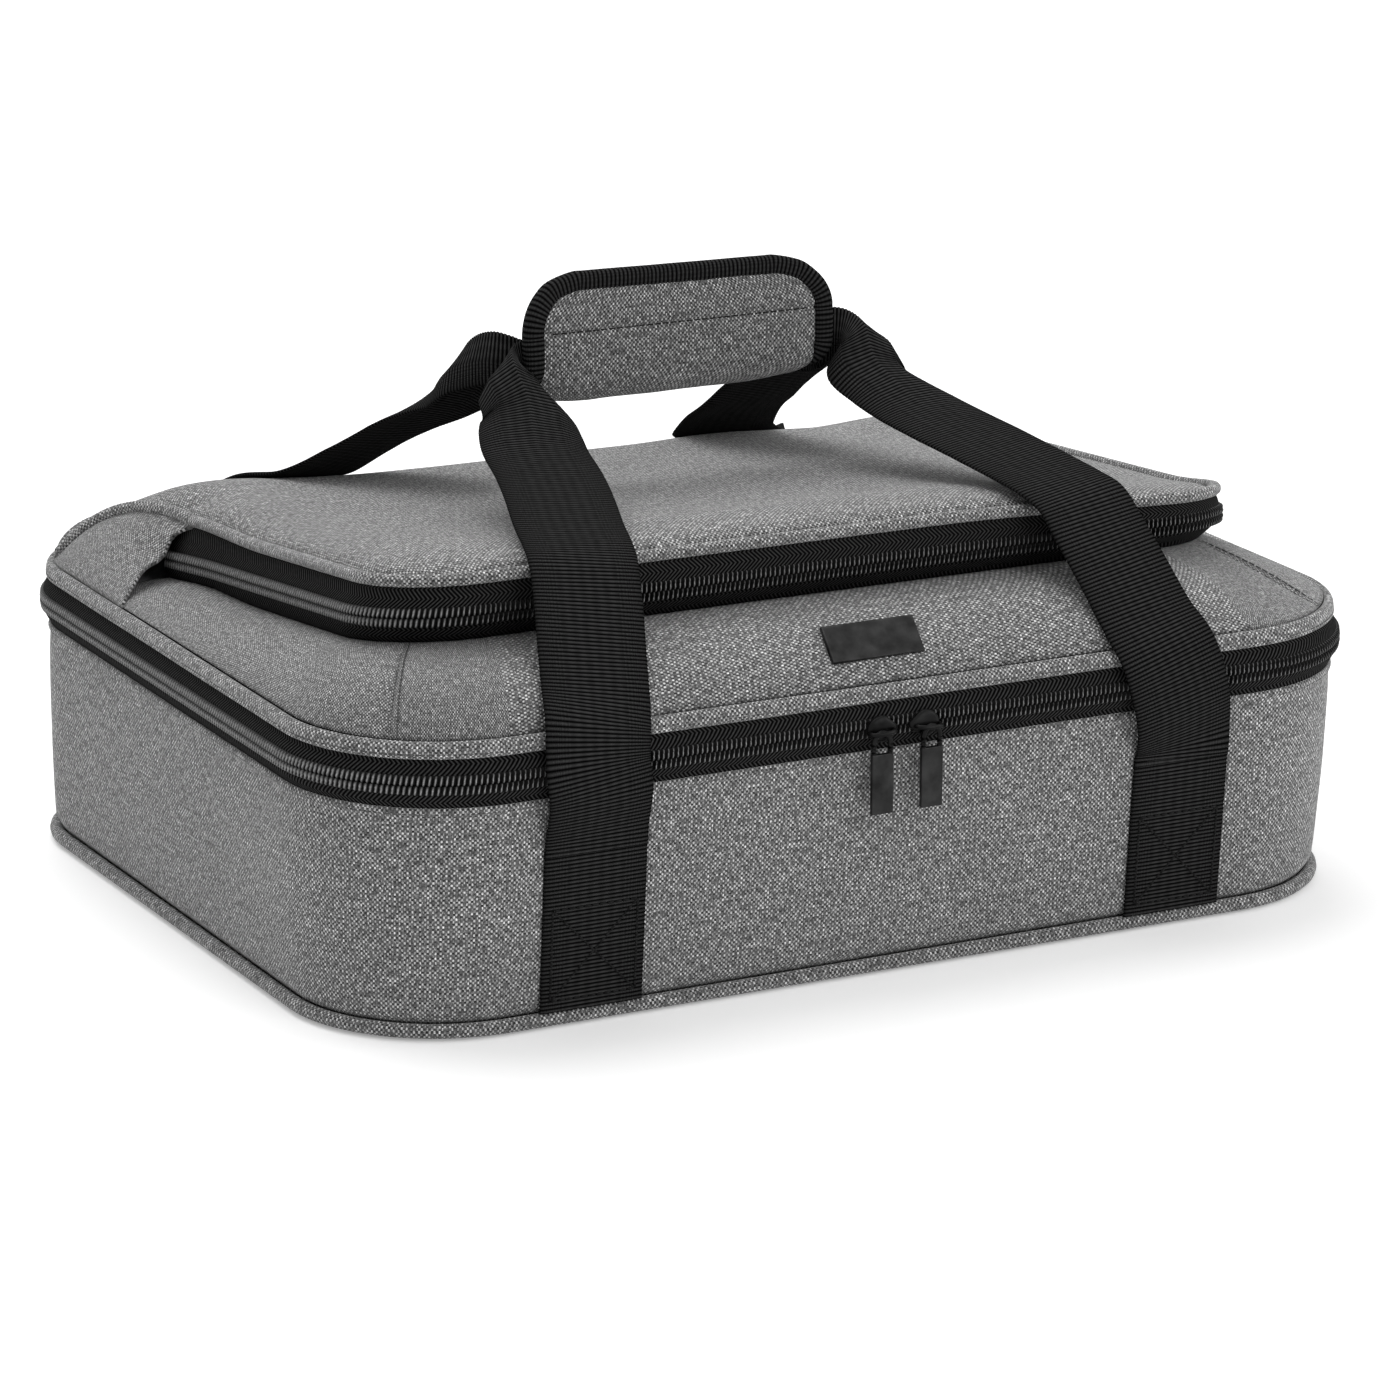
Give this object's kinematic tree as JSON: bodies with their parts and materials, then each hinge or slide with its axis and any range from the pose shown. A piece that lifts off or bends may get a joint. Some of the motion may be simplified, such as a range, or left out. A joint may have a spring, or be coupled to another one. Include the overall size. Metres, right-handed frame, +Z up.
{
  "type": "casserole carrier",
  "caption": "Soft insulated carrier for an oven dish: rounded box, zipped lid with a flat zipped pocket on top, and webbing handles joined by a padded grip wrap.",
  "frame": {"origin": "middle of the base's underside, on the floor", "axes": "+Z up, front with the zip pulls and the badge plate towards -Y, +X along the length to the right as seen from the front"},
  "size_m": [0.4284, 0.3428, 0.2312],
  "materials": {
    "grey_cloth": "heathered woven polyester, matt",
    "black_webbing": "ribbed polypropylene webbing and binding tape",
    "zip_tape": "woven zip tape",
    "zip_coil": "nylon coil, slight sheen",
    "silver_lining": "wipe-clean coated lining",
    "white_foam": "closed-cell insulation foam",
    "dark_board": "stiff plastic board",
    "dark_metal": "satin gunmetal"
  },
  "bodies": {
    "base": {"base_floor_panel": "grey_cloth", "base_floor_piping": "grey_cloth", "base_stiffener_board": "dark_board", "base_floor_foam": "white_foam", "base_floor_lining": "silver_lining", "base_side_wall": "grey_cloth", "base_side_foam": "white_foam", "base_side_lining": "silver_lining", "base_mouth_binding": "black_webbing", "base_zip_tape": "zip_tape", "base_zip_coil": "zip_coil", "base_rear_hinge_tape": "grey_cloth", "front_left_strap_anchor": "black_webbing", "front_right_strap_anchor": "black_webbing", "rear_left_strap_anchor": "black_webbing", "rear_right_strap_anchor": "black_webbing"},
    "lid": {"lid_zip_tape": "zip_tape", "lid_zip_coil": "zip_coil", "lid_rear_hinge_tape": "grey_cloth", "lid_rim_band": "grey_cloth", "lid_front_skirt": "grey_cloth", "lid_left_skirt": "grey_cloth", "lid_right_skirt": "grey_cloth", "lid_left_gusset": "grey_cloth", "lid_right_gusset": "grey_cloth", "lid_left_piping": "grey_cloth", "lid_right_piping": "grey_cloth", "lid_rear_panel": "grey_cloth", "lid_divider_lower_lining": "silver_lining", "lid_divider_foam": "white_foam", "lid_divider_upper_lining": "silver_lining", "lid_mouth_binding": "black_webbing", "pocket_lower_zip_tape": "zip_tape", "pocket_lower_zip_coil": "zip_coil", "badge_plate": "dark_metal"},
    "pocket_cover": {"pocket_cover_panel": "grey_cloth", "pocket_cover_foam": "white_foam", "pocket_cover_lining": "silver_lining", "pocket_cover_piping": "grey_cloth", "pocket_upper_zip_tape": "zip_tape", "pocket_upper_zip_coil": "zip_coil"},
    "front_handle": {"front_left_riser": "black_webbing", "front_right_riser": "black_webbing", "front_grip_run": "black_webbing", "wrap_front_pad": "grey_cloth", "wrap_front_binding": "black_webbing", "wrap_loop_strip": "black_webbing"},
    "wrap_flap": {"wrap_rear_pad": "grey_cloth", "wrap_rear_binding": "black_webbing", "wrap_hook_strip": "black_webbing"},
    "rear_handle": {"rear_left_riser": "black_webbing", "rear_right_riser": "black_webbing", "rear_grip_run": "black_webbing"},
    "left_slide": {"main_left_slider": "dark_metal"},
    "left_tab": {"main_left_pull": "dark_metal"},
    "right_slide": {"main_right_slider": "dark_metal"},
    "right_tab": {"main_right_pull": "dark_metal"},
    "pocket_slide": {"pocket_slider": "dark_metal"},
    "pocket_tab": {"pocket_pull": "dark_metal"}
  },
  "joints": [
    {"name": "lid_hinge", "type": "hinge", "parent": "base", "child": "lid", "pos_m": [0, 0.162, 0.0955], "axis": [-1, 0, 0], "range_deg": [0, 95]},
    {"name": "pocket_cover_hinge", "type": "hinge", "parent": "lid", "child": "pocket_cover", "pos_m": [0, 0.08, 0.143], "axis": [-1, 0, 0], "range_deg": [0, 43]},
    {"name": "front_handle_swing", "type": "hinge", "parent": "base", "child": "front_handle", "pos_m": [0, -0.1616, 0.0661], "axis": [1, 0, 0], "range_deg": [0, 143], "deforming": ["front_left_riser", "front_right_riser"]},
    {"name": "wrap_flap_open", "type": "hinge", "parent": "front_handle", "child": "wrap_flap", "pos_m": [0, 0.0127, 0.1868], "axis": [-1, 0, 0], "range_deg": [0, 100], "deforming": ["wrap_rear_pad", "wrap_rear_binding", "wrap_hook_strip"]},
    {"name": "rear_handle_swing", "type": "hinge", "parent": "base", "child": "rear_handle", "pos_m": [0, 0.163, 0.0661], "axis": [-1, 0, 0], "range_deg": [0, 143], "deforming": ["rear_left_riser", "rear_right_riser"]},
    {"name": "main_left_slider_run", "type": "slide", "parent": "base", "child": "left_slide", "axis": [-1, 0, 0], "range_m": [0, 0.07]},
    {"name": "main_left_pull_swing", "type": "hinge", "parent": "left_slide", "child": "left_tab", "pos_m": [-0.01, -0.1696, 0.0941], "axis": [-1, 0, 0], "range_deg": [0, 120]},
    {"name": "main_right_slider_run", "type": "slide", "parent": "base", "child": "right_slide", "axis": [1, 0, 0], "range_m": [0, 0.07]},
    {"name": "main_right_pull_swing", "type": "hinge", "parent": "right_slide", "child": "right_tab", "pos_m": [0.01, -0.1696, 0.0941], "axis": [-1, 0, 0], "range_deg": [0, 120]},
    {"name": "pocket_slider_run", "type": "slide", "parent": "lid", "child": "pocket_slide", "axis": [0, -0.9965, 0.0834], "range_m": [0, 0.11]},
    {"name": "pocket_pull_swing", "type": "hinge", "parent": "pocket_slide", "child": "pocket_tab", "pos_m": [0.1828, 0.048, 0.1212], "axis": [0, -1, 0], "range_deg": [0, 40]}
  ],
  "couplings": [
    {"joint": "front_handle_swing", "follows": "lid_hinge", "ratio": 1.5},
    {"joint": "rear_handle_swing", "follows": "lid_hinge", "ratio": 1.5},
    {"joint": "wrap_flap_open", "follows": "lid_hinge", "ratio": 1.05},
    {"joint": "pocket_cover_hinge", "follows": "lid_hinge", "ratio": 0.45}
  ]
}
